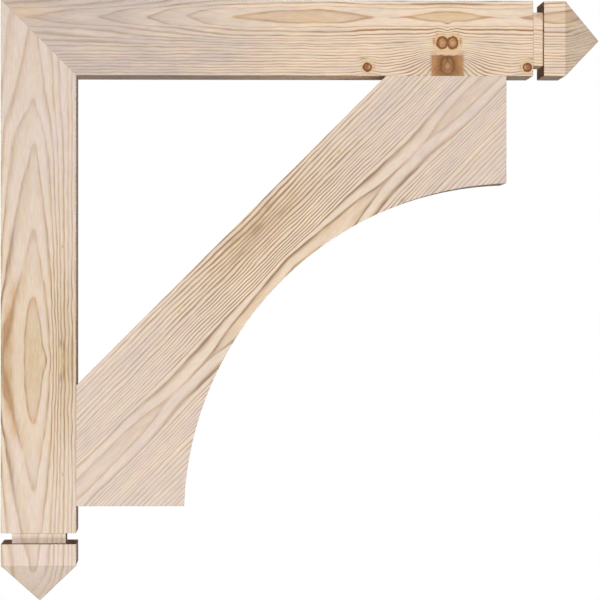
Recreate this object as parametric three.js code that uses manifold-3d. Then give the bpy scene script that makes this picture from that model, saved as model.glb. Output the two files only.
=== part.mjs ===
// A carpenter's bracket, or corbel, in planed softwood: a square wall leg and a square top arm,
// mitred together at the outer corner, and a curved diagonal brace cut from one wide board.
// Near its free end each square timber has a saw kerf cut all round, which leaves a thin neck,
// a square block beyond it, and a four-sided point.
//
// Units are millimetres. +X runs from the wall towards the arm's tip, +Z is up, and Y is across
// the thickness. The origin is on the face that bears on the wall, half way down its flat run.

import * as THREE from "three";
import { mergeVertices } from "three/addons/utils/BufferGeometryUtils.js";
import Module from "manifold-3d";

const INCH = 25.4;

// Square timbers: one size for the leg and the arm, measured from the outer mitred corner.
const SECTION = 3.5 * INCH;
const OVERALL = 28 * INCH;
const KERF_WIDTH = 0.5 * INCH;
const KERF_DEPTH = 0.5 * INCH;
const END_BLOCK = 1 * INCH;
const POINT_HEIGHT = SECTION / 2;
const KERF_START = OVERALL - POINT_HEIGHT - END_BLOCK - KERF_WIDTH;

// Brace: a wide board set at 45 degrees, with a square-cut foot on each timber and a hollow arc.
const BOARD_WIDTH = 7.5 * INCH;
const BRACE_REACH = 23.5 * INCH;
const FOOT_DEPTH = 5 * INCH;
const ARC_RADIUS = 15.5 * INCH;
const ARC_STEPS = 72;

// Pieces that touch keep this much air between them.
const JOINT_GAP = 0.3;

const wasm = await Module();
wasm.setup();

// A closed three.js geometry as a solid that can be cut.
function solidFrom(geometry) {
  const bare = geometry.clone();
  bare.deleteAttribute("normal");
  bare.deleteAttribute("uv");
  const merged = mergeVertices(bare, 1e-4);
  return new wasm.Manifold(
    new wasm.Mesh({
      numProp: 3,
      vertProperties: new Float32Array(merged.attributes.position.array),
      triVerts: new Uint32Array(merged.index.array),
    }),
  );
}

// The cut solid as a three.js geometry again.
function geometryFrom(solid) {
  const mesh = solid.getMesh();
  const geometry = new THREE.BufferGeometry();
  geometry.setAttribute("position", new THREE.BufferAttribute(mesh.vertProperties, mesh.numProp));
  geometry.setIndex(new THREE.BufferAttribute(mesh.triVerts, 1));
  geometry.computeVertexNormals();
  return geometry;
}

// A square timber as a lathe of four sides: the outline is the half width at each distance
// from the outer corner, so the kerf, the block and the point run round all four faces.
function turnedTimber() {
  const half = SECTION / 2;
  const neck = half - KERF_DEPTH;
  const outline = [
    [0, 0],
    [half, 0],
    [half, KERF_START],
    [neck, KERF_START],
    [neck, KERF_START + KERF_WIDTH],
    [half, KERF_START + KERF_WIDTH],
    [half, KERF_START + KERF_WIDTH + END_BLOCK],
    [0, OVERALL],
  ];
  const toCorner = Math.SQRT2;
  const points = outline.map(([width, along]) => new THREE.Vector2(width * toCorner, along));
  const timber = new THREE.LatheGeometry(points, 4, Math.PI / 4);
  timber.rotateZ(-Math.PI / 2);
  timber.translate(0, 0, -half);
  return timber;
}

// The block that the mitre saw takes off: everything on the far side of the 45 degree plane.
function mitreWaste() {
  const size = 4 * SECTION;
  const waste = new THREE.BoxGeometry(size, size, size);
  waste.translate(-size / 2 + JOINT_GAP / 2, 0, 0);
  waste.rotateY(-Math.PI / 4);
  return waste;
}

// The top arm lies along +X under the plane z = 0, with its outer corner at the frame's corner.
function armGeometry() {
  return geometryFrom(solidFrom(turnedTimber()).subtract(solidFrom(mitreWaste())));
}

// Brace outline in the plane of the frame: x from the wall, z down from the top face.
// The arc passes through the toes of both feet and bulges up towards the mitred corner.
function braceGeometry() {
  const inner = SECTION + JOINT_GAP;
  const toe = SECTION + FOOT_DEPTH;
  const upperEdge = BRACE_REACH + toe - BOARD_WIDTH * Math.SQRT2;
  const chordMiddle = (toe + BRACE_REACH) / 2;
  const halfChord = ((BRACE_REACH - toe) * Math.SQRT2) / 2;
  const rise = Math.sqrt(ARC_RADIUS ** 2 - halfChord ** 2);
  const centre = chordMiddle + rise / Math.SQRT2;
  const startAngle = Math.atan2(centre - BRACE_REACH, toe - centre);
  const endAngle = Math.atan2(centre - toe, BRACE_REACH - centre);

  const outline = new THREE.Shape();
  outline.moveTo(inner, -BRACE_REACH);
  outline.lineTo(toe, -BRACE_REACH);
  outline.absarc(centre, -centre, ARC_RADIUS, startAngle, endAngle, true);
  outline.lineTo(BRACE_REACH, -inner);
  outline.lineTo(upperEdge - inner, -inner);
  outline.lineTo(inner, -(upperEdge - inner));
  outline.closePath();

  const board = new THREE.ExtrudeGeometry(outline, {
    depth: SECTION,
    bevelEnabled: false,
    curveSegments: ARC_STEPS,
  });
  board.rotateX(Math.PI / 2);
  board.translate(0, SECTION / 2, 0);
  return board;
}

function wood(color, roughness) {
  return new THREE.MeshStandardMaterial({ color, roughness, metalness: 0 });
}

const arm = new THREE.Mesh(armGeometry(), wood("#dcc3a6", 0.62));
arm.name = "top_arm";

// The leg is the same timber turned half a turn about the mitre's own diagonal.
const leg = new THREE.Mesh(armGeometry(), wood("#dac4ae", 0.62));
leg.name = "wall_leg";
leg.setRotationFromAxisAngle(new THREE.Vector3(1, 0, -1).normalize(), Math.PI);

const brace = new THREE.Mesh(braceGeometry(), wood("#dcc6b1", 0.62));
brace.name = "curved_brace";

// The timbers are made from the outer corner, and the frame's origin is lower on the wall face.
const frame = new THREE.Group();
frame.position.z = KERF_START / 2;
frame.add(leg, arm, brace);

const bracket = new THREE.Group();
bracket.add(frame);

export default bracket;
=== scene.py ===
# %% [markdown]
# A wooden corbel bracket.
#
# The bracket is three lengths of planed softwood: a square leg against the wall, a square arm under
# the eave, and a wide diagonal board between them with a hollow arc below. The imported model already
# has the three pieces at their real size. It is loaded first and never changed, and its box is
# kept, because the finished pieces have to stay inside it.

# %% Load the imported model
import math

import bmesh
import bpy
from mathutils import Matrix, Vector


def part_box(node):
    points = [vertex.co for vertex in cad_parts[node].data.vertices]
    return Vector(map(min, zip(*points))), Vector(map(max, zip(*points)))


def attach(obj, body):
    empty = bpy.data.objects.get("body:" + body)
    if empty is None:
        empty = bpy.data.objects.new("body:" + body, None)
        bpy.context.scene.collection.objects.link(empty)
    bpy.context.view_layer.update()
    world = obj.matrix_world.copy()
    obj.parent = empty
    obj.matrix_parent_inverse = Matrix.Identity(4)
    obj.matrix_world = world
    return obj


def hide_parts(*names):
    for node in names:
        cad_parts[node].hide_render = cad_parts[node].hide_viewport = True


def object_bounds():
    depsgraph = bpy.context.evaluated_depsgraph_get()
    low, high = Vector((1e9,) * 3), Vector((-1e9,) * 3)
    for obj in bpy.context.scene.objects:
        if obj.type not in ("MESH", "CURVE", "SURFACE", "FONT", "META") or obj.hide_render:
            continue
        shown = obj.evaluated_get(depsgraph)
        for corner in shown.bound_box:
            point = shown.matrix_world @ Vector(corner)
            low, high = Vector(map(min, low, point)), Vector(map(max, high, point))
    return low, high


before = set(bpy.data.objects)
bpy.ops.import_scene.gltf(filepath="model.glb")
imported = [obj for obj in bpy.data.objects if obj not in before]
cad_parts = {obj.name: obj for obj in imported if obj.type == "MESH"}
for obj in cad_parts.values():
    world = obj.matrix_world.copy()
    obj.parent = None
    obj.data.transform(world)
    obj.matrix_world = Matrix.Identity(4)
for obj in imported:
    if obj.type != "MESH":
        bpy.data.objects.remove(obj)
cad_low, cad_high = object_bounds()
print("packed pieces:", sorted(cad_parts))
print("packed box in metres:", tuple(cad_low), tuple(cad_high))

# %% [markdown]
# The camera looks at the bracket's side from 4.4 m away through a long lens, so the outline hardly
# narrows with depth. It stands a little left of the middle and well below the top, and that is why
# the undersides show as thin strips and the top faces not at all. The long lens and the distance
# set how wide those strips are. A shift lens would give the same picture, but turning the camera by
# two degrees does it as well, and keeps the other views centred.

# %% Place the camera
CAMERA_PLACE = Vector((0.2091, -4.4685, -0.0452))
CAMERA_TARGET = Vector((0.3526, -0.04445, -0.0395))
CAMERA_LENS_MM = 225

look = CAMERA_TARGET - CAMERA_PLACE
bpy.ops.object.camera_add(location=CAMERA_PLACE, rotation=look.to_track_quat("-Z", "Y").to_euler())
camera = bpy.context.object
camera.name = "camera"
camera.data.lens = CAMERA_LENS_MM
bpy.context.scene.camera = camera
print("camera distance in metres:", round(look.length, 3))

# %% [markdown]
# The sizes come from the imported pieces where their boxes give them. The rest are the sizes that a
# carpenter marks out: the saw kerf, the end block, the width of the brace board and its arc.

# %% Read and mark out the sizes
INCH = 0.0254
KERF_WIDTH = 0.5 * INCH
KERF_DEPTH = 0.5 * INCH
END_BLOCK = 1 * INCH
BOARD_WIDTH = 7.5 * INCH
FOOT_DEPTH = 5 * INCH
ARC_RADIUS = 15.5 * INCH

arm_low, arm_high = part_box("top_arm")
brace_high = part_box("curved_brace")[1]
top = arm_high.z
overall = arm_high.x
section = arm_high.y - arm_low.y
half_section = section / 2
point_height = half_section
kerf_start = overall - point_height - END_BLOCK - KERF_WIDTH
brace_reach = brace_high.x
print("timber section and overall reach in mm:", round(section * 1000, 1), round(overall * 1000, 1))

# %% [markdown]
# Wood never has a perfectly sharp edge: the planer and a rub of sandpaper ease each arris by half
# a millimetre or so, and that is what catches the light. The edges at a joint stay sharp, because
# they are cut last and pulled up tight. All pieces are shaped in edit mode, with their faces and
# edges picked in code by place, so a few small helpers do the picking.

# %% Helpers for picking and easing
ARRIS = 0.0006
TIGHT_JOINT = 0.00005
NEAR = 0.00002
SHARP = math.radians(30)
FLAT_SHADED = math.radians(10)


def start_alone():
    """Leave edit mode and deselect everything, so that the next operator meets one object only."""
    if bpy.context.object and bpy.context.object.mode == "EDIT":
        bpy.ops.object.mode_set(mode="OBJECT")
    bpy.ops.object.select_all(action="DESELECT")


def place_in_mesh(piece, name):
    """Name the piece and move its place into its mesh, so that its object sits at the origin."""
    piece.name = name
    piece.data.name = name
    bpy.ops.object.transform_apply(location=True, rotation=True, scale=True)


def pick_faces(piece, test):
    """In edit mode, select only the faces whose middle passes the test."""
    bpy.ops.mesh.select_mode(type="FACE")
    bpy.ops.mesh.select_all(action="DESELECT")
    mesh = bmesh.from_edit_mesh(piece.data)
    for face in mesh.faces:
        if test(face.calc_center_median()):
            face.select_set(True)
    bmesh.update_edit_mesh(piece.data)


def ease_arrises(piece, in_joint):
    """Round every outward edge of the piece a little, except those that lie in a joint."""
    bpy.ops.mesh.select_mode(type="EDGE")
    bpy.ops.mesh.select_all(action="DESELECT")
    mesh = bmesh.from_edit_mesh(piece.data)
    picked = 0
    for edge in mesh.edges:
        outward = edge.is_convex and edge.calc_face_angle(0) > SHARP
        if outward and not all(in_joint(vertex.co) for vertex in edge.verts):
            edge.select_set(True)
            picked += 1
    bmesh.update_edit_mesh(piece.data)
    bpy.ops.mesh.bevel(offset=ARRIS, segments=3, profile=0.5, affect="EDGES")
    return picked


def saw(place, outward):
    """Cut the selected mesh at a plane, drop what lies on the plane's outward side and close the cut."""
    bpy.ops.mesh.select_all(action="SELECT")
    bpy.ops.mesh.bisect(plane_co=place, plane_no=outward, use_fill=True, clear_outer=True)


# %% [markdown]
# The top arm is one square timber. Near its end a saw kerf runs round all four faces and leaves a
# neck, then comes a square block, and the end is cut to a point with four slopes. On the bench the
# kerf is sawn into the full timber. Here the end face is inset to the neck's size, drawn out by the
# kerf's width, opened out to the full section again and drawn out for the block, and the last
# stretch is gathered to a point. That gives the same closed shape with no boolean, and each step
# uses one of the sizes above.

# %% Turn a block into the arm's timber
start_alone()
bpy.ops.mesh.primitive_cube_add(
    size=1,
    location=(kerf_start / 2, 0, top - half_section),
    scale=(kerf_start, section, section),
)
arm = bpy.context.object
place_in_mesh(arm, "planed_arm")

bpy.ops.object.mode_set(mode="EDIT")
pick_faces(arm, lambda middle: middle.x > kerf_start - NEAR)
bpy.ops.mesh.inset(thickness=KERF_DEPTH, depth=0)
bpy.ops.mesh.extrude_region_move(TRANSFORM_OT_translate={"value": (KERF_WIDTH, 0, 0)})
bpy.ops.mesh.extrude_region_move(TRANSFORM_OT_translate={"value": (0, 0, 0)})
open_out = section / (section - 2 * KERF_DEPTH)
neck_end = (kerf_start + KERF_WIDTH, 0, top - half_section)
bpy.ops.transform.resize(value=(1, open_out, open_out), center_override=neck_end)
bpy.ops.mesh.extrude_region_move(TRANSFORM_OT_translate={"value": (END_BLOCK, 0, 0)})
bpy.ops.mesh.extrude_region_move(TRANSFORM_OT_translate={"value": (point_height, 0, 0)})
bpy.ops.mesh.merge(type="CENTER")
arm.update_from_editmode()
print("arm before easing:", len(arm.data.vertices), "vertices")

# %% Ease the arm's arrises and saw its mitre
eased = ease_arrises(arm, lambda corner: corner.x < NEAR)
saw((TIGHT_JOINT / 2, 0, top + TIGHT_JOINT / 2), (-1, 0, -1))
bpy.ops.object.mode_set(mode="OBJECT")
bpy.ops.object.shade_smooth_by_angle(angle=FLAT_SHADED)
print("arm: eased", eased, "edges, now", len(arm.data.polygons), "faces")

# %% [markdown]
# The wall leg is cut to the same pattern, with the same mitre, so it isn't modelled again. The arm
# is copied with a mesh of its own and turned half a turn about the mitre's diagonal, which lays it
# down the wall with its point hanging.

# %% Copy the arm as the wall leg
start_alone()
arm.select_set(True)
bpy.context.view_layer.objects.active = arm
bpy.ops.object.duplicate(linked=False)
leg = bpy.context.object
corner = Matrix.Translation((0, 0, top))
leg.matrix_world = corner @ Matrix.Rotation(math.pi, 4, Vector((1, 0, -1))) @ corner.inverted()
place_in_mesh(leg, "planed_leg")
lowest = min(vertex.co.z for vertex in leg.data.vertices)
print("leg: from", round(top, 4), "down to", round(lowest, 4), "m")

# %% [markdown]
# The brace is one wide board set at 45 degrees. Four saw cuts give it a flat foot on the leg and on
# the arm and a square end beside each foot, and the hollow arc is band-sawn last. The board starts
# as a turned block. The straight cuts are bisects, and the arc is taken out with a large cylinder,
# because a boolean leaves exactly the curve that the marked-out radius gives.

# %% Saw the brace board to length
upper_edge = brace_reach + section + FOOT_DEPTH - BOARD_WIDTH * math.sqrt(2)
board_middle = (upper_edge + BOARD_WIDTH / math.sqrt(2)) / 2
start_alone()
bpy.ops.mesh.primitive_cube_add(
    size=1,
    location=(board_middle, 0, top - board_middle),
    rotation=(0, -math.radians(45), 0),
    scale=(2 * brace_reach, section, BOARD_WIDTH),
)
brace = bpy.context.object
place_in_mesh(brace, "sawn_brace")

bpy.ops.object.mode_set(mode="EDIT")
foot = section + TIGHT_JOINT
saw((foot, 0, 0), (-1, 0, 0))
saw((0, 0, top - foot), (0, 0, 1))
saw((brace_reach, 0, 0), (1, 0, 0))
saw((0, 0, top - brace_reach), (0, 0, -1))
bpy.ops.object.mode_set(mode="OBJECT")
print("brace board:", len(brace.data.polygons), "faces after four cuts")

# %% Band-saw the arc
ARC_SIDES = 720
SLIVER = 0.0001
toe = section + FOOT_DEPTH
half_chord = (brace_reach - toe) * math.sqrt(2) / 2
arc_centre = (toe + brace_reach) / 2 + math.sqrt(ARC_RADIUS**2 - half_chord**2) / math.sqrt(2)
start_alone()
bpy.ops.mesh.primitive_cylinder_add(
    vertices=ARC_SIDES,
    radius=ARC_RADIUS,
    depth=2 * section,
    location=(arc_centre, 0, top - arc_centre),
    rotation=(math.radians(90), 0, 0),
)
waste = bpy.context.object
start_alone()
brace.select_set(True)
bpy.context.view_layer.objects.active = brace
bpy.ops.object.modifier_add(type="BOOLEAN")
brace.modifiers[-1].operation = "DIFFERENCE"
brace.modifiers[-1].object = waste
bpy.ops.object.modifier_apply(modifier=brace.modifiers[-1].name)
bpy.data.objects.remove(waste)
bpy.ops.object.mode_set(mode="EDIT")
bpy.ops.mesh.select_all(action="SELECT")
bpy.ops.mesh.remove_doubles(threshold=SLIVER)
bpy.ops.object.mode_set(mode="OBJECT")
print("brace: arc centre", round(arc_centre, 4), "m from both outer faces")

# %% Ease the brace's arrises
bpy.ops.object.mode_set(mode="EDIT")
eased = ease_arrises(
    brace,
    lambda corner: corner.x < foot + NEAR or corner.z > top - foot - NEAR,
)
bpy.ops.object.mode_set(mode="OBJECT")
bpy.ops.object.shade_smooth_by_angle(angle=FLAT_SHADED)
print("brace: eased", eased, "edges, now", len(brace.data.polygons), "faces")

# %% [markdown]
# The finish is bare planed softwood. What the eye sees is the log's growth rings. Each year adds
# pale early wood, which deepens to tan and then to a thin brown line of late wood, and the next
# year starts pale again. A board sawn off centre cuts the rings at a slant, so they show as long
# tongues and islands along the heart line and as close, nearly straight lines on either side. The
# material rebuilds that: at every point of the timber it counts how many rings lie between the
# point and the heart, and colours by the fraction. The pattern is solid, so it runs on over
# arrises, kerf and points, as in real wood.
#
# The nodes are added by one helper. Colours are given as sRGB hex and turned linear.

# %% Helpers for colours and nodes
MATH = "ShaderNodeMath"
VECTOR = "ShaderNodeVectorMath"
NOISE = "ShaderNodeTexNoise"
RANGE = "ShaderNodeMapRange"
CURVE = "ShaderNodeFloatCurve"
RAMP = "ShaderNodeValToRGB"
MIX = "ShaderNodeMix"


def linear(hex_colour):
    """A colour written as sRGB hex, as the linear values that the shader takes."""
    parts = [int(hex_colour[start : start + 2], 16) / 255 for start in (1, 3, 5)]
    return [part / 12.92 if part <= 0.04045 else ((part + 0.055) / 1.055) ** 2.4 for part in parts] + [1]


def add(tree, kind, inputs=None, points=None, stops=None, **settings):
    """Add one node. Inputs are values, sockets or nodes, and a node gives its first live output."""
    node = tree.nodes.new(kind)
    for name, value in settings.items():
        setattr(node, name, value)
    for key, value in (inputs or {}).items():
        if isinstance(value, bpy.types.Node):
            value = next(socket for socket in value.outputs if socket.enabled)
        if isinstance(value, bpy.types.NodeSocket):
            tree.links.new(value, node.inputs[key])
        else:
            node.inputs[key].default_value = value
    if points:
        node.mapping.use_clip = False
        curve = node.mapping.curves[0]
        curve.points[0].location, curve.points[1].location = points[0], points[-1]
        for point in points[1:-1]:
            curve.points.new(*point)
        for point in curve.points:
            point.handle_type = "AUTO_CLAMPED"
        node.mapping.update()
    if stops:
        ramp = node.color_ramp.elements
        ramp[0].position, ramp[1].position = stops[0][0], stops[-1][0]
        ramp[0].color, ramp[1].color = stops[0][1], stops[-1][1]
        for position, colour in stops[1:-1]:
            ramp.new(position).color = colour
    return node


# %% [markdown]
# First every timber gets grain coordinates in millimetres: X along the grain, Y into the depth from
# the front face and Z across the front face. The face that shows has been book-matched: its figure
# runs out from a line and comes back the same on the other side. So the distance along the grain
# is taken from that line, and folded over. The rings take a fold that is rounded off by a few
# millimetres, and the knots take the plain one, so that a pair of them keeps its round outlines.
# Stains and darkened lines go only as deep as a skin behind the front face, so that they don't run
# through to the back.

# %% Grain coordinates
MM = 1000
FOLD_SOFTNESS = 3.0
FRONT_SKIN = 20.0
SKIN_FULL = 2.0
NOISE_LOW = 0.25
NOISE_HIGH = 0.75


def grain_coordinates(tree, board):
    """Millimetres along, into and across the timber: plain, folded softly and folded sharply."""
    place = add(tree, "ShaderNodeTexCoord").outputs["Object"]
    grain = add(
        tree,
        "ShaderNodeMapping",
        {"Vector": place, "Scale": board["scale"], "Rotation": board["turn"], "Location": board["shift"]},
    )
    parts = add(tree, "ShaderNodeSeparateXYZ", {0: grain})
    depth = parts.outputs["Y"]
    across = parts.outputs["Z"]
    run = add(tree, MATH, {0: parts.outputs["X"], 1: board["fold"]}, operation="SUBTRACT")
    square = add(tree, MATH, {0: run, 1: run, 2: FOLD_SOFTNESS**2}, operation="MULTIPLY_ADD")
    soft_run = add(tree, MATH, {0: square}, operation="SQRT")
    sharp_run = add(tree, MATH, {0: run}, operation="ABSOLUTE")
    folded = add(tree, "ShaderNodeCombineXYZ", {"X": soft_run, "Y": depth, "Z": across})
    matched = add(tree, "ShaderNodeCombineXYZ", {"X": sharp_run, "Y": depth, "Z": across})
    skin = add(tree, RANGE, {0: depth, 1: SKIN_FULL, 2: FRONT_SKIN, 3: 1.0, 4: 0.0})
    return {
        "grain": grain,
        "folded": folded,
        "matched": matched,
        "run": soft_run,
        "depth": depth,
        "across": across,
        "skin": skin,
    }


def drift(tree, place, lengths, amount, detail=2.0):
    """Smooth random drift of up to about the given amount, with its lengths along, into and across in mm."""
    steps = [1 / length for length in lengths]
    scaled = add(tree, VECTOR, {0: place, 1: steps}, operation="MULTIPLY")
    noise = add(tree, NOISE, {"Vector": scaled, "Scale": 1.0, "Detail": detail, "Roughness": 0.5})
    ends = {0: noise, 1: NOISE_LOW, 2: NOISE_HIGH, 3: -amount, 4: amount}
    return add(tree, RANGE, ends, clamp=False)


def hump(tree, place, centre, reach, height):
    """A smooth hump on the face, with its centre and reach along and across in mm."""
    offset = add(tree, VECTOR, {0: place, 1: (centre[0], 0, centre[1])}, operation="SUBTRACT")
    steps = (1 / reach[0], 0, 1 / reach[1])
    scaled = add(tree, VECTOR, {0: offset, 1: steps}, operation="MULTIPLY")
    square = add(tree, VECTOR, {0: scaled, 1: scaled}, operation="DOT_PRODUCT")
    fall = add(tree, MATH, {0: square, 1: -1.0}, operation="MULTIPLY")
    shape = add(tree, MATH, {0: fall}, operation="EXPONENT")
    return add(tree, MATH, {0: shape, 1: height}, operation="MULTIPLY")


def drawn(tree, at, length, points):
    """A curve drawn through points of millimetres and value, read at a distance in millimetres."""
    share = add(tree, MATH, {0: at, 1: length}, operation="DIVIDE")
    tenths = [(mm / length, value / 10) for mm, value in points]
    curve = add(tree, CURVE, {"Value": share}, points=tenths)
    return add(tree, MATH, {0: curve, 1: 10.0}, operation="MULTIPLY")


# %% [markdown]
# The ring count has two parts. One grows with the distance from the heart line, and its curve is
# drawn for each board, because good and poor years give wide and narrow rings. The other is drawn
# along the heart line. It counts the rings that the face passes through as the log tapers and
# bends, and it fades out to the sides. Where it passes a whole ring, a tongue or an island closes.
# Further from the line the rings stay nearly level. Into the depth the heart falls away from the
# face, slowly at first, and it slants to one side, so the timber's sides show lines too.

# %% Growth rings
FIRST_RADIUS = 7.0
HEART_FALL = 40.0
CURVE_LENGTH = 600.0
CURVE_RADIUS = 128.0
HEART_FIGURE = 9.0
SIDE_FIGURE = 15.0


def growth_rings(tree, board, at):
    """How many growth rings lie between the heart and each point, and how near the heart line it is."""
    sway = drift(tree, at["folded"], (90, 75, 34), board["sway"])
    wave = drift(tree, at["folded"], (24, 40, 9), board["wave"], detail=1.0)
    slanted = add(tree, MATH, {0: at["depth"], 1: board["slant"], 2: at["across"]}, operation="MULTIPLY_ADD")
    aside = add(tree, MATH, {0: slanted, 1: board["heart"]}, operation="SUBTRACT")
    aside = add(tree, MATH, {0: aside, 1: sway}, operation="ADD")
    aside = add(tree, MATH, {0: aside, 1: wave}, operation="ADD")
    slower = add(tree, MATH, {0: aside, 1: board["slow_side"]}, operation="MULTIPLY")
    aside = add(tree, MATH, {0: aside, 1: slower}, operation="MAXIMUM")

    deep = add(tree, MATH, {0: at["depth"], 1: section * MM}, operation="DIVIDE")
    deep = add(tree, MATH, {0: deep, 1: deep}, operation="MULTIPLY")
    behind = add(tree, MATH, {0: deep, 1: HEART_FALL, 2: FIRST_RADIUS}, operation="MULTIPLY_ADD")
    flat = add(tree, "ShaderNodeCombineXYZ", {"X": aside, "Y": behind})
    radius = add(tree, VECTOR, {0: flat}, operation="LENGTH")
    rings = drawn(tree, radius, CURVE_RADIUS, board["radii"])

    share = add(tree, MATH, {0: aside, 1: board["band"]}, operation="DIVIDE")
    fourth = add(tree, MATH, {0: share, 1: 4.0}, operation="POWER")
    fall = add(tree, MATH, {0: fourth, 1: -1.0}, operation="MULTIPLY")
    near = add(tree, MATH, {0: fall}, operation="EXPONENT")
    passed = drawn(tree, at["run"], CURVE_LENGTH, board["passed"])
    rings = add(tree, MATH, {0: passed, 1: near, 2: rings}, operation="MULTIPLY_ADD")
    for centre, reach, height in board["swellings"]:
        swell = hump(tree, at["folded"], centre, reach, height)
        rings = add(tree, MATH, {0: rings, 1: swell}, operation="ADD")
    off_line = add(tree, MATH, {0: aside}, operation="ABSOLUTE")
    on_line = add(tree, RANGE, {0: off_line, 1: HEART_FIGURE, 2: SIDE_FIGURE, 3: 1.0, 4: 0.0})
    return rings, on_line


# %% [markdown]
# A small knot is a branch cut through. It has rings of its own, a dark rim where the bark died back
# and a resin-yellow halo, and the timber's rings part and run round it. Each knot here is a cone
# that narrows into the depth, so it shows on the front face and dies out before the back. The saw
# rarely meets a branch quite square, so a knot may be squeezed to a slight oval.

# %% Knots
KNOT_DEPTH = 62.0
KNOT_END = 0.3
KNOT_HALO = 2.1
KNOT_REACH = 0.35
KNOT_PUSH = 0.26
KNOT_STOPS = [
    (0.00, linear("#78411a")),
    (0.09, linear("#975a2e")),
    (0.18, linear("#d0a07a")),
    (0.32, linear("#a86c36")),
    (0.46, linear("#c4925c")),
    (0.60, linear("#9c6326")),
    (0.74, linear("#834f08")),
    (0.89, linear("#754400")),
    (1.00, linear("#875a18")),
]


def blend(tree, amount, first, second, kind="MIX"):
    """Two colours mixed by an amount."""
    return add(tree, MIX, {0: amount, 6: first, 7: second}, data_type="RGBA", blend_type=kind)


def knot(tree, at, centre, radius, squeeze, tone):
    """An oval knot: where it is, its colour, its halo, and how far it pushes the rings apart."""
    offset = add(tree, VECTOR, {0: at["matched"], 1: (centre[0], 0, centre[1])}, operation="SUBTRACT")
    flat = add(tree, VECTOR, {0: offset, 1: (1, 0, squeeze)}, operation="MULTIPLY")
    span = add(tree, VECTOR, {0: flat}, operation="LENGTH")
    narrowed = add(tree, RANGE, {0: at["depth"], 1: 0.0, 2: KNOT_DEPTH, 3: radius, 4: KNOT_END})
    share = add(tree, MATH, {0: span, 1: narrowed}, operation="DIVIDE")
    share = add(tree, MATH, {0: share, 1: drift(tree, at["grain"], (4, 12, 4), 0.13)}, operation="ADD")
    body = add(tree, RANGE, {0: share, 1: 0.97, 2: 1.08, 3: 1.0, 4: 0.0})
    ends = {0: share, 1: 1.0, 2: KNOT_HALO, 3: 1.0, 4: 0.0}
    halo = add(tree, RANGE, ends, interpolation_type="SMOOTHSTEP")
    colour = add(tree, RAMP, {0: share}, stops=KNOT_STOPS)
    colour = blend(tree, 1.0, colour, linear(tone), "MULTIPLY")
    flecks = add(tree, MATH, {0: drift(tree, at["grain"], (2.2, 4, 2.2), 0.16), 1: 1.0}, operation="ADD")
    colour = add(tree, VECTOR, {0: colour, 3: flecks}, operation="SCALE")
    square = add(tree, MATH, {0: share, 1: share}, operation="MULTIPLY")
    scaled = add(tree, MATH, {0: square, 1: -KNOT_REACH}, operation="MULTIPLY")
    near = add(tree, MATH, {0: scaled}, operation="EXPONENT")
    side = add(tree, "ShaderNodeSeparateXYZ", {0: flat})
    push = add(tree, MATH, {0: side.outputs["Z"], 1: near}, operation="MULTIPLY")
    push = add(tree, MATH, {0: push, 1: -KNOT_PUSH}, operation="MULTIPLY")
    return body, colour, halo, push


# %% [markdown]
# From the ring count come the colours. The fraction of the ring gives early or late wood. At the
# heart line the saw meets a ring almost flat, so its late wood is a thin line with a sharp outer
# edge. To the sides it cuts the rings more squarely, and the late wood shows as a broad soft band.
# Two profiles stand for these, mixed by the distance from the heart line. Each year has a strength
# of its own, lines come and go along the board, and near knots and on some lines they are darker.
# Behind the front skin the lines are calmer, so the back is plainer. The ground shifts between pink
# and yellow in soft clouds, and fine fibre streaks lie over it all. Where a cut faces the end of the
# grain, the open fibres drink in light and the wood looks darker. Planing leaves the surface smooth
# but not polished, and the hard late wood takes a little more shine than the soft early wood.

# %% Early and late wood
YEAR_WEAK = 0.7
YEAR_STRONG = 1.1
BACK_CALM = 0.52
HALO_STRENGTH = 0.7
HALO_COLOUR = "#dfb67f"
END_GRAIN_COLOUR = "#b9a48e"
END_GRAIN_FROM = 0.72
FIBRE = 0.1
STREAKS = 0.045
BOARD_TONE = 0.03
RELIEF_METRES = 0.00006
RELIEF_STRENGTH = 0.35
EARLY_ROUGHNESS = 0.66
LATE_ROUGHNESS = 0.52
WOOD_IOR = 1.5
HEART_STOPS = [
    (0.00, (0.15, 0.15, 0.15, 1)),
    (0.08, (0.00, 0.00, 0.00, 1)),
    (0.35, (0.03, 0.03, 0.03, 1)),
    (0.58, (0.18, 0.18, 0.18, 1)),
    (0.80, (0.34, 0.34, 0.34, 1)),
    (0.92, (0.95, 0.95, 0.95, 1)),
    (0.97, (0.90, 0.90, 0.90, 1)),
    (1.00, (0.15, 0.15, 0.15, 1)),
]
SIDE_STOPS = [
    (0.00, (0.30, 0.30, 0.30, 1)),
    (0.12, (0.02, 0.02, 0.02, 1)),
    (0.45, (0.00, 0.00, 0.00, 1)),
    (0.66, (0.45, 0.45, 0.45, 1)),
    (0.82, (1.00, 1.00, 1.00, 1)),
    (0.93, (1.00, 1.00, 1.00, 1)),
    (1.00, (0.30, 0.30, 0.30, 1)),
]


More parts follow.
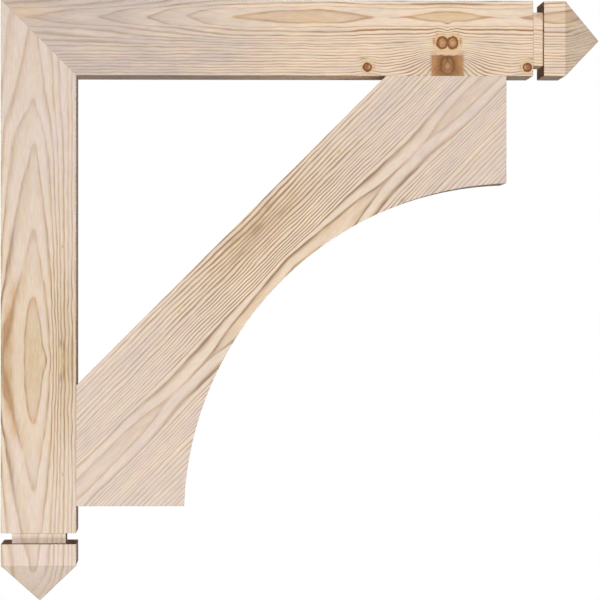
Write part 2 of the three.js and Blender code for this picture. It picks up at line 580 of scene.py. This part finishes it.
def late_wood(tree, board, rings, on_line, at):
    """How much late wood shows: 0 in pale spring growth, a half in tan, 1 on the brown autumn line."""
    part = add(tree, MATH, {0: rings}, operation="FRACT")
    heart_line = add(tree, RAMP, {0: part}, stops=HEART_STOPS)
    side_line = add(tree, RAMP, {0: part}, stops=SIDE_STOPS)
    line = blend(tree, on_line, side_line, heart_line)
    year = add(tree, MATH, {0: rings}, operation="FLOOR")
    year = add(tree, MATH, {0: year, 1: board["seed"]}, operation="ADD")
    year_noise = add(tree, "ShaderNodeTexWhiteNoise", {"W": year}, noise_dimensions="1D")
    year_strength = add(tree, RANGE, {0: year_noise.outputs["Value"], 3: YEAR_WEAK, 4: YEAR_STRONG})
    fading = drift(tree, at["folded"], (38, 40, 4), 0.45)
    strength = add(tree, MATH, {0: year_strength, 1: fading}, operation="ADD")
    along = drawn(tree, at["run"], CURVE_LENGTH, board["contrast"])
    strength = add(tree, MATH, {0: strength, 1: along}, operation="MULTIPLY")
    for centre, reach, amount in board["accents"]:
        accent = hump(tree, at["folded"], centre, reach, amount)
        strength = add(tree, MATH, {0: accent, 1: at["skin"], 2: strength}, operation="MULTIPLY_ADD")
    calm = add(tree, RANGE, {0: at["skin"], 3: BACK_CALM, 4: 1.0})
    strength = add(tree, MATH, {0: strength, 1: calm}, operation="MULTIPLY")
    return add(tree, MATH, {0: line, 1: strength}, operation="MULTIPLY", use_clamp=True)


def ground_and_lines(tree, board, late, at):
    """The wood's colour from its late wood, between a pale pinkish board and a warm yellowish one."""
    warm = drawn(tree, at["run"], CURVE_LENGTH, board["warmth"])
    clouds = drift(tree, at["folded"], (75, 60, 11), 0.42)
    warm = add(tree, MATH, {0: warm, 1: clouds}, operation="ADD", use_clamp=True)
    cool_stops = [(share, linear(tone)) for share, tone in zip((0, 0.5, 1), board["cool"])]
    warm_stops = [(share, linear(tone)) for share, tone in zip((0, 0.5, 1), board["warm"])]
    cool_colour = add(tree, RAMP, {0: late}, stops=cool_stops)
    warm_colour = add(tree, RAMP, {0: late}, stops=warm_stops)
    colour = blend(tree, warm, cool_colour, warm_colour)
    mottle = drift(tree, at["folded"], (15, 13, 4), 0.6)
    mottle = add(tree, MATH, {0: mottle, 1: 0.5}, operation="ADD", use_clamp=True)
    tint = blend(tree, mottle, linear("#fff5fb"), linear("#fbfff4"))
    return blend(tree, 1.0, colour, tint, "MULTIPLY")


def wood(board):
    """The whole material for one board of bare, planed, flat-sawn softwood."""
    material = bpy.data.materials.new(board["name"])
    material.use_nodes = True
    tree = material.node_tree
    tree.nodes.clear()
    at = grain_coordinates(tree, board)
    rings, on_line = growth_rings(tree, board, at)
    knots = [knot(tree, at, *about) for about in board["knots"]]
    for _, _, _, push in knots:
        rings = add(tree, MATH, {0: rings, 1: push}, operation="ADD")
    late = late_wood(tree, board, rings, on_line, at)
    colour = ground_and_lines(tree, board, late, at)

    for _, _, halo, _ in knots:
        soft = add(tree, MATH, {0: halo, 1: HALO_STRENGTH}, operation="MULTIPLY")
        colour = blend(tree, soft, colour, linear(HALO_COLOUR))
    for centre, reach, amount, stain in board["stains"]:
        patchy = drift(tree, at["folded"], (9, 12, 4), 0.45)
        patchy = add(tree, MATH, {0: patchy, 1: 1.0}, operation="ADD")
        cover = hump(tree, at["matched"], centre, reach, amount)
        cover = add(tree, MATH, {0: cover, 1: at["skin"]}, operation="MULTIPLY")
        cover = add(tree, MATH, {0: cover, 1: patchy}, operation="MULTIPLY", use_clamp=True)
        colour = blend(tree, cover, colour, linear(stain))
    for body, knot_colour, _, _ in knots:
        colour = blend(tree, body, colour, knot_colour)
    for centre, reach, amount, glint in board["glints"]:
        cover = hump(tree, at["matched"], centre, reach, amount)
        cover = add(tree, MATH, {0: cover, 1: at["skin"]}, operation="MULTIPLY")
        colour = blend(tree, cover, colour, linear(glint))
    if board["patch"]:
        colour = board["patch"](tree, at, colour)

    fibre = drift(tree, at["grain"], (18, 1.1, 1.1), FIBRE, detail=3.0)
    streaks = drift(tree, at["grain"], (11, 3.0, 3.0), STREAKS)
    tone = drift(tree, at["folded"], (120, 80, 18), BOARD_TONE)
    shade = add(tree, MATH, {0: fibre, 1: streaks}, operation="ADD")
    shade = add(tree, MATH, {0: shade, 1: tone}, operation="ADD")
    shade = add(tree, MATH, {0: shade, 1: 1.0}, operation="ADD")
    colour = add(tree, VECTOR, {0: colour, 3: shade}, operation="SCALE")

    normal = add(tree, "ShaderNodeNewGeometry").outputs["True Normal"]
    facing = add(tree, VECTOR, {0: normal, 1: board["grain"]}, operation="DOT_PRODUCT")
    square_on = add(tree, MATH, {0: facing}, operation="ABSOLUTE")
    ends = add(tree, RANGE, {0: square_on, 1: END_GRAIN_FROM, 2: 1.0})
    colour = blend(tree, ends, colour, linear(END_GRAIN_COLOUR), "MULTIPLY")

    relief = add(tree, MATH, {0: late, 1: fibre}, operation="ADD")
    bump = add(
        tree,
        "ShaderNodeBump",
        {"Height": relief, "Strength": RELIEF_STRENGTH, "Distance": RELIEF_METRES},
    )
    roughness = add(tree, RANGE, {0: late, 3: EARLY_ROUGHNESS, 4: LATE_ROUGHNESS})
    surface = add(
        tree,
        "ShaderNodeBsdfPrincipled",
        {"Base Color": colour, "Roughness": roughness, "Normal": bump, "IOR": WOOD_IOR},
    )
    add(tree, "ShaderNodeOutputMaterial", {"Surface": surface})
    return material


# %% [markdown]
# The arm's figure: the heart line runs 20 mm below the top edge. Left of the middle it breaks into
# nested tongues, then come a long island and a short one, and below them the lines run level. The
# matching line is 527 mm out. Round it sit a pair of round knots, side by side, with a squarish
# patch below them where a branch runs along the face, and there is a small knot on either side.

# %% The branch patch below the twin knots
PATCH_HALF_WIDTH = 19.4
PATCH_TOP = 64.6
PATCH_EYE = 78.0
PATCH_STOPS = [
    (0.00, linear("#b48064")),
    (0.13, linear("#b07850")),
    (0.18, linear("#814c12")),
    (0.25, linear("#9d6a32")),
    (0.31, linear("#9c6930")),
    (0.38, linear("#7a4400")),
    (0.46, linear("#7e4906")),
    (0.56, linear("#96602a")),
    (0.70, linear("#a36d35")),
    (0.86, linear("#b27c44")),
    (1.00, linear("#a8733a")),
]


def branch_patch(tree, at, colour):
    """A branch cut along its length: an orange-brown square with a ringed eye in the middle."""
    parts = add(tree, "ShaderNodeSeparateXYZ", {0: at["matched"]})
    ragged = drift(tree, at["grain"], (4, 20, 3), 1.3)
    out = add(tree, MATH, {0: parts.outputs["X"], 1: ragged}, operation="ADD")
    edge = PATCH_HALF_WIDTH
    sides = add(tree, RANGE, {0: out, 1: edge - 2.2, 2: edge + 1.8, 3: 1.0, 4: 0.0})
    down = add(tree, MATH, {0: parts.outputs["Z"], 1: ragged}, operation="ADD")
    head = add(tree, RANGE, {0: down, 1: PATCH_TOP - 1.2, 2: PATCH_TOP + 0.6})
    inside = add(tree, RANGE, {0: at["depth"], 1: 25.0, 2: 50.0, 3: 1.0, 4: 0.0})
    where = add(tree, MATH, {0: sides, 1: head}, operation="MULTIPLY")
    where = add(tree, MATH, {0: where, 1: inside}, operation="MULTIPLY")

    offset = add(tree, VECTOR, {0: at["matched"], 1: (0, 0, PATCH_EYE)}, operation="SUBTRACT")
    above = add(tree, VECTOR, {0: offset, 1: (1.0, 0, 0.66)}, operation="MULTIPLY")
    below = add(tree, VECTOR, {0: offset, 1: (1.0, 0, 0.95)}, operation="MULTIPLY")
    above = add(tree, VECTOR, {0: above}, operation="LENGTH")
    below = add(tree, VECTOR, {0: below}, operation="LENGTH")
    lower = add(tree, RANGE, {0: parts.outputs["Z"], 1: PATCH_EYE - 4.0, 2: PATCH_EYE + 4.0})
    gap = add(tree, MATH, {0: below, 1: above}, operation="SUBTRACT")
    span = add(tree, MATH, {0: gap, 1: lower, 2: above}, operation="MULTIPLY_ADD")
    span = add(tree, MATH, {0: span, 1: drift(tree, at["grain"], (7, 12, 6), 0.9)}, operation="ADD")
    share = add(tree, MATH, {0: span, 1: PATCH_HALF_WIDTH}, operation="DIVIDE")
    branch = add(tree, RAMP, {0: share}, stops=PATCH_STOPS)
    for centre, reach, amount, tone in (
        ((10, PATCH_TOP), (16, 1.4), 0.7, "#81581f"),
        ((0, 68.5), (1.5, 2.6), 0.9, "#552e08"),
        ((6.8, 77.0), (2.0, 2.2), 0.8, "#703c00"),
        ((0, 87.5), (9.0, 2.8), 0.6, "#75480a"),
        ((15.0, 71.0), (3.0, 6.0), 0.4, "#bb884a"),
        ((13.5, 83.0), (3.0, 4.5), 0.4, "#7c4c08"),
        ((12.0, 90.5), (14.0, 2.0), 0.8, "#9c8238"),
    ):
        branch = blend(tree, hump(tree, at["matched"], centre, reach, amount), branch, linear(tone))
    return blend(tree, where, colour, branch)


# %% The arm's wood
ARM_BOARD = {
    "name": "planed_softwood_arm",
    "grain": (1, 0, 0),
    "scale": (MM, MM, -MM),
    "turn": (0, 0, 0),
    "shift": (0, half_section * MM, top * MM),
    "fold": 526.9,
    "heart": 19.9,
    "slant": 0.2,
    "slow_side": 1.0,
    "band": 30.0,
    "passed": [
        (0, 0.5), (24, 0.7), (44, 0.93), (56, 0.975), (68, 0.985), (77, 1.06), (86, 0.99), (96, 0.91),
        (124, 0.66), (180, 0.56), (232, 0.82), (256, 1.0), (309, 2.0), (356, 3.0), (414, 4.0), (500, 5.0),
        (600, 5.5),
    ],
    "radii": [
        (0, 0.0), (7, 0.0), (7.6, 0.13), (9.2, 0.3), (11.4, 0.55), (13.8, 1.3), (18.4, 2.35), (23.1, 3.5),
        (26.4, 4.6), (28.7, 5.7), (32.2, 6.8), (34.4, 7.85), (38, 8.93), (42, 10.0), (128, 34.3),
    ],
    "sway": 1.5,
    "wave": 0.6,
    "swellings": [((0, 76), (37, 22), 7.5), ((0, 34), (9, 7), -0.8), ((94, 86), (12, 8), 1.5)],
    "knots": [((6.1, 49.8), 6.9, 0.87, "#ffffff"), ((94.8, 78.8), 5.4, 1.0, "#dcc09c")],
    "patch": branch_patch,
    "seed": 3.0,
    "contrast": [(0, 0.75), (150, 0.72), (300, 0.66), (420, 0.55), (600, 0.55)],
    "accents": [((55, 33), (90, 5), 0.7), ((36, 80), (24, 13), 0.8), ((0, 4), (34, 3), 0.6)],
    "warmth": [(0, 0.95), (150, 0.8), (300, 0.3), (420, 0.06), (600, 0.05)],
    "cool": ("#cfbfb5", "#b5a294", "#98806f"),
    "warm": ("#efdbc5", "#d4b28a", "#9c6838"),
    "stains": [
        ((0, 4.2), (26, 2.4), 0.55, "#b08a58"),
        ((28, 84), (10, 7), 0.35, "#d9cb9c"),
        ((86.6, 78.0), (1.3, 3.4), 0.5, "#c08a55"),
        ((15.8, 47.9), (1.4, 4.6), 0.75, "#b0753f"),
        ((12.7, 40.0), (1.1, 2.6), 0.5, "#bb8752"),
        ((0, 60.0), (17, 3.0), 0.5, "#deb17c"),
        ((17.0, 62.0), (5.0, 1.8), 0.5, "#ad8154"),
        ((99.6, 68.2), (4.8, 1.5), 0.6, "#8c765a"),
        ((89.0, 71.8), (3.4, 3.2), 0.45, "#e2c48c"),
        ((500, 14), (34, 10), 0.45, "#dbb88c"),
        ((0, 18.5), (36, 5.5), 0.65, "#dab57a"),
        ((172, 19.5), (66, 6.5), 0.5, "#dab384"),
    ],
    "glints": [((92.2, 78.6), (1.1, 2.3), 0.75, "#dcb07c"), ((7.6, 51.5), (1.0, 2.0), 0.5, "#d0a274")],
}
arm.data.materials.append(wood(ARM_BOARD))
print("arm's wood:", len(arm.data.materials[0].node_tree.nodes), "nodes")

# %% [markdown]
# The leg's figure: its heart line is 39 mm from the wall, with one long tan island half way down, a
# wider ring round it and open tongues above and below. The rings are wider on the wall side, and a
# second, smaller figure is cut off by that edge. The matching line is 425 mm below the top. Near
# it the wood is more yellow and the lines darker, and towards both ends it turns to a pale pink
# beige.

# %% The leg's wood
LEG_BOARD = {
    "name": "planed_softwood_leg",
    "grain": (0, 0, 1),
    "scale": (MM, MM, MM),
    "turn": (0, -math.radians(90), 0),
    "shift": (top * MM, half_section * MM, 0),
    "fold": 425.0,
    "heart": 38.9,
    "slant": 0.2,
    "slow_side": 0.62,
    "band": 32.0,
    "passed": [
        (0, 0.35), (40, 0.5), (64, 0.75), (76, 1.0), (120, 1.6), (157, 2.0), (200, 2.45), (257, 3.0),
        (310, 4.0), (425, 5.0), (600, 5.5),
    ],
    "radii": [
        (0, 0.0), (7, 0.0), (7.8, 0.16), (10.0, 0.36), (12.5, 0.62), (16, 1.05), (20.5, 1.7), (24.5, 2.8),
        (28, 3.9), (31, 4.95), (35, 6.1), (39.5, 7.2), (128, 28.8),
    ],
    "sway": 1.6,
    "wave": 0.6,
    "swellings": [((0, 52), (12, 7), -0.5), ((0, -2), (90, 9), -1.3), ((0, 27), (80, 6), 0.25)],
    "knots": [],
    "patch": None,
    "seed": 11.0,
    "contrast": [(0, 0.98), (90, 0.78), (160, 0.62), (300, 0.46), (600, 0.44)],
    "accents": [((0, 72), (70, 14), 0.45), ((60, 10), (50, 12), 0.4), ((116, 25), (18, 6), -0.5)],
    "warmth": [(0, 0.8), (80, 0.68), (160, 0.45), (300, 0.25), (600, 0.25)],
    "cool": ("#e2d2c8", "#ccb6a7", "#a48876"),
    "warm": ("#e3cfb4", "#c8aa80", "#8c6536"),
    "stains": [
        ((0, 76), (70, 13), 0.35, "#c0a070"),
        ((0, 39), (50, 8.5), 0.6, "#caac80"),
        ((0, 10), (62, 11), 0.3, "#c49a68"),
        ((80, 15), (14, 4.0), 0.6, "#cf9b6c"),
        ((54, 9), (14, 4.0), 0.6, "#cf9b6c"),
        ((32, 3), (12, 3.5), 0.5, "#c28f5c"),
        ((66, 37.5), (9, 4.5), 0.45, "#d2a27a"),
        ((15, 11), (7, 3), 0.55, "#bf9166"),
        ((0, 0), (28, 2), 0.8, "#96703f"),
        ((6, 72), (12, 6), 0.3, "#e2ca8a"),
        ((12, 74.5), (14, 1.5), 0.7, "#8c652e"),
        ((20, 70.5), (5, 1.4), 0.6, "#7d5622"),
        ((8, 84.0), (20, 1.6), 0.6, "#94703c"),
        ((18, 6.5), (16, 1.5), 0.6, "#a8753f"),
        ((134, 73.2), (5.5, 3.0), 0.4, "#dfcf9f"),
        ((134, 73.2), (2.0, 1.3), 0.6, "#a29064"),
    ],
    "glints": [],
}
leg.data.materials.append(wood(LEG_BOARD))
print("leg's wood:", len(leg.data.materials[0].node_tree.nodes), "nodes")

# %% [markdown]
# The brace's figure runs at 45 degrees, along the board. Its heart line just clears the crown of the
# arc, so the islands show towards both feet, and above it the rings are the closest of all, with
# the darkest stretch in the middle of the board.

# %% The brace's wood
DIAGONAL = math.sqrt(0.5)
BRACE_BOARD = {
    "name": "sawn_softwood_brace",
    "grain": (DIAGONAL, 0, DIAGONAL),
    "scale": (MM, MM, -MM),
    "turn": (0, -math.radians(45), 0),
    "shift": (-top * MM * DIAGONAL, half_section * MM, top * MM * DIAGONAL),
    "fold": 22.1,
    "heart": 472.0,
    "slant": -0.25,
    "slow_side": 1.0,
    "band": 26.0,
    "passed": [
        (0, -0.3), (60, 0.15), (110, 0.6), (145, 0.93), (170, 0.975), (205, 0.985), (222, 0.93), (250, 0.7),
        (300, 0.55), (400, 0.6), (600, 0.8),
    ],
    "radii": [
        (0, 0.0), (7, 0.0), (7.8, 0.12), (10.5, 0.36), (14, 0.68), (20, 1.35), (24, 2.4), (27, 3.5),
        (30, 4.55), (33, 5.6), (36.2, 6.65), (39.3, 7.7), (42.5, 8.7), (45.6, 9.7), (50, 11), (56, 12),
        (60.4, 13), (65.4, 14), (69.5, 15), (74.6, 16), (79.6, 17), (90, 19.5), (128, 30.0),
    ],
    "sway": 1.4,
    "wave": 0.5,
    "swellings": [((0, 400), (60, 11), 0.9), ((0, 428), (50, 9), -0.7)],
    "knots": [],
    "patch": None,
    "seed": 5.0,
    "contrast": [(0, 1.35), (90, 1.2), (180, 0.75), (400, 0.5), (600, 0.5)],
    "accents": [((0, 405), (55, 10), 0.5), ((30, 392), (60, 9), 0.25)],
    "warmth": [(0, 0.9), (90, 0.7), (180, 0.35), (300, 0.2), (600, 0.2)],
    "cool": ("#dccbc0", "#c5b0a0", "#99806b"),
    "warm": ("#efdcc5", "#cfb18a", "#866038"),
    "stains": [
        ((0, 408), (95, 20), 0.35, "#bf9b69"),
        ((0, 404), (12, 6), 0.6, "#987243"),
        ((26, 396), (16, 3), 0.45, "#a07a4a"),
        ((38, 412), (14, 2.5), 0.4, "#a8824f"),
        ((50, 468), (60, 7), 0.4, "#dcbb92"),
        ((265, 470), (50, 7), 0.35, "#d8b896"),
        ((133.4, 408.5), (6.0, 3.4), 0.4, "#dccb9a"),
        ((133.4, 408.5), (2.2, 1.6), 0.55, "#a8925f"),
        ((146, 502), (3.2, 2.0), 0.7, "#8f6f48"),
    ],
    "glints": [],
}
brace.data.materials.append(wood(BRACE_BOARD))
print("brace's wood:", len(brace.data.materials[0].node_tree.nodes), "nodes")

# %% [markdown]
# The bracket floats in a white studio. A large softbox beside the camera lights the face, and a low
# one in front gives the slopes and undersides their light, as in a catalogue picture. The faces
# that look away from the wall get almost none, so they go dark. The softboxes behind, above and to
# either side are there for the other views and don't reach the face. They are kept out of
# reflections too, because at a glancing angle even bare wood mirrors a light behind it, and the
# undersides would turn pale. The power of each light is worked out from the share that it gives: a
# white surface that faces it squarely turns exactly that bright.

# %% Lights
STUDIO_WHITE = (1, 1, 1, 1)
AMBIENT = 0.07
middle = (cad_low + cad_high) / 2


def softbox(name, place, size, share, glare=False):
    """A square soft light that looks at the middle of the bracket and gives it a share of full light."""
    look = middle - Vector(place)
    turn = look.to_track_quat("-Z", "Y").to_euler()
    bpy.ops.object.light_add(type="AREA", location=place, rotation=turn)
    light = bpy.context.object
    light.name = name
    light.data.size = size
    light.data.energy = share * (math.pi * look.length) ** 2
    light.visible_camera = False
    light.visible_glossy = glare
    print(name, "at", round(look.length, 2), "m:", round(light.data.energy, 1), "W")


softbox("softbox_face", (0.5, -5.2, -0.1), 1.6, 0.69, glare=True)
softbox("softbox_low", (0.5, -3.4, -2.3), 1.0, 0.36, glare=True)
softbox("softbox_behind", (0.35, 4.5, 0.5), 1.6, 0.45)
softbox("softbox_above", (0.35, 1.2, 3.4), 1.0, 0.24)
softbox("softbox_wall_side", (-3.6, 1.4, 0.9), 1.4, 0.40)
softbox("softbox_outer_side", (4.2, 1.4, 0.9), 1.6, 0.10)

# %% [markdown]
# The room is white where the camera sees it and dim for everything else, so that it doesn't wash
# out the shadows. The floor is a plain pale disc, as far below as the floor of a porch would be.

# %% Room and floor
FLOOR_DROP = 2.6
FLOOR_RADIUS = 20

world = bpy.data.worlds.new("white_room")
bpy.context.scene.world = world
world.use_nodes = True
tree = world.node_tree
tree.nodes.clear()
dim = add(tree, "ShaderNodeBackground", {"Color": STUDIO_WHITE, "Strength": AMBIENT})
white = add(tree, "ShaderNodeBackground", {"Color": STUDIO_WHITE, "Strength": 1.0})
seen = add(tree, "ShaderNodeLightPath").outputs["Is Camera Ray"]
room = add(tree, "ShaderNodeMixShader", {0: seen, 1: dim, 2: white})
add(tree, "ShaderNodeOutputWorld", {"Surface": room})

start_alone()
bpy.ops.mesh.primitive_circle_add(
    vertices=96, radius=FLOOR_RADIUS, fill_type="NGON", location=(0.3, 0, -FLOOR_DROP)
)
floor = bpy.context.object
place_in_mesh(floor, "pale_floor")
floor.visible_diffuse = False
floor.visible_glossy = False
floor.visible_shadow = False
paint = bpy.data.materials.new("pale_floor_paint")
paint.use_nodes = True
tree = paint.node_tree
tree.nodes.clear()
matt = add(tree, "ShaderNodeBsdfDiffuse", {"Color": linear("#d8d6d2")})
glow = add(tree, "ShaderNodeEmission", {"Color": linear("#f0efed"), "Strength": 1.0})
seen = add(tree, "ShaderNodeLightPath").outputs["Is Camera Ray"]
pale = add(tree, "ShaderNodeMixShader", {0: seen, 1: matt, 2: glow})
add(tree, "ShaderNodeOutputMaterial", {"Surface": pale})
floor.data.materials.append(paint)

bpy.context.scene.view_settings.view_transform = "Standard"
print("floor", FLOOR_DROP, "m below the mount")

# %% [markdown]
# Last, each finished piece is tied to the imported model. It rides on the one body and stands in
# for the imported piece that it was cut to match, which is hidden.

# %% Tie the pieces to the imported model
for piece, node, slot in (
    (arm, "top_arm", "arm_timber"),
    (leg, "wall_leg", "leg_timber"),
    (brace, "curved_brace", "brace_board"),
):
    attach(piece, "root")
    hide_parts(node)
    print(piece.name, "stands for", node)
